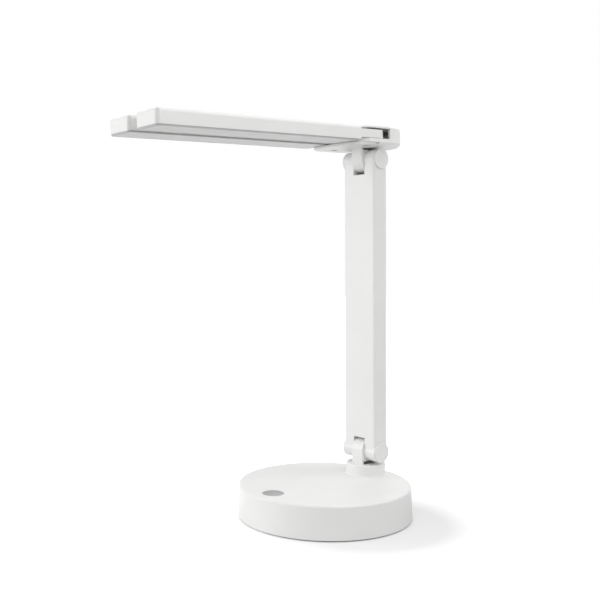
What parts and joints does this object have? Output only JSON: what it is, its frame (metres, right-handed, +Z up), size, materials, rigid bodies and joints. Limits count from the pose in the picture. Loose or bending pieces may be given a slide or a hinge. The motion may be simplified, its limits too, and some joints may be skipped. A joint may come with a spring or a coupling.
{
  "type": "folding desk lamp",
  "caption": "Folding desk lamp: round weighted base with a push button, flat arm hinged at both ends, and two long light bars side by side that swing out on upright pivots.",
  "frame": {"origin": "centre of the round base's underside, on the table plane", "axes": "+Z up, -Y forward towards the button and the tips of the light bars, +X to the right of someone sitting in front"},
  "size_m": [0.1616, 0.2952, 0.3634],
  "materials": {
    "white_plastic": "fine satin moulding",
    "grey_plastic": "plain moulding",
    "ballast_iron": "rough casting",
    "pad_foam": "soft closed foam",
    "steel_hardware": "zinc plated",
    "black_screws": "black oxide",
    "button_plastic": "fine matte texture",
    "black_plastic": "plain moulding",
    "board_laminate": "solder mask",
    "board_white": "white solder mask",
    "battery_sleeve": "shrink sleeve over a metal can",
    "washer_plastic": "self-lubricating plastic",
    "cable_sleeve": "extruded sleeve",
    "bush_brass": "turned",
    "frame_plastic": "satin moulding",
    "diffuser_plastic": "frosted translucent sheet",
    "led_phosphor": "phosphor gel"
  },
  "bodies": {
    "base": {"base_shell": "white_plastic", "base_plate": "grey_plastic", "ballast_weight": "ballast_iron", "base_pad": "pad_foam", "base_screws": "steel_hardware", "switch_body": "steel_hardware", "control_board": "board_laminate", "board_screws": "steel_hardware", "battery_cell": "battery_sleeve", "battery_holder": "black_plastic", "charge_socket": "steel_hardware", "neck": "white_plastic", "neck_screws": "steel_hardware"},
    "button": {"button_cap": "button_plastic", "switch_plunger": "black_plastic"},
    "arm": {"lower_pin": "steel_hardware", "lower_nut": "steel_hardware", "lower_springs": "steel_hardware", "lower_washers": "washer_plastic", "lower_caps": "white_plastic", "arm_body": "white_plastic", "arm_cover": "white_plastic", "arm_cover_screws": "steel_hardware", "arm_cable": "cable_sleeve", "upper_pin": "steel_hardware", "upper_nut": "steel_hardware", "upper_springs": "steel_hardware", "upper_washers": "washer_plastic", "upper_caps": "white_plastic"},
    "head": {"head_bracket": "white_plastic", "bracket_cover": "white_plastic", "pivot_screws": "black_screws", "pivot_bushes": "bush_brass"},
    "right_bar": {"right_knuckle": "white_plastic", "right_housing": "white_plastic", "right_frame": "frame_plastic", "right_diffuser": "diffuser_plastic", "right_led_board": "board_white", "right_leds": "led_phosphor", "right_bar_screws": "steel_hardware"},
    "left_bar": {"left_knuckle": "white_plastic", "left_housing": "white_plastic", "left_frame": "frame_plastic", "left_diffuser": "diffuser_plastic", "left_led_board": "board_white", "left_leds": "led_phosphor", "left_bar_screws": "steel_hardware"}
  },
  "joints": [
    {"name": "button_press", "type": "slide", "parent": "base", "child": "button", "axis": [0, 0, -1], "range_m": [0, 0.0006], "stiffness_N_per_m": 2500, "springref_m": -0.0001},
    {"name": "arm_tilt", "type": "hinge", "parent": "base", "child": "arm", "pos_m": [0, 0.0555, 0.0532], "axis": [1, 0, 0], "range_deg": [-15, 70]},
    {"name": "head_tilt", "type": "hinge", "parent": "arm", "child": "head", "pos_m": [0, 0.0555, 0.335], "axis": [-1, 0, 0], "range_deg": [-87, 60]},
    {"name": "right_bar_swing", "type": "hinge", "parent": "head", "child": "right_bar", "pos_m": [0.02075, 0.03418, 0.35506], "axis": [0, -0.0401, 0.9992], "range_deg": [0, 90]},
    {"name": "left_bar_swing", "type": "hinge", "parent": "head", "child": "left_bar", "pos_m": [-0.02075, 0.03418, 0.35506], "axis": [0, 0.0401, -0.9992], "range_deg": [0, 90]}
  ]
}
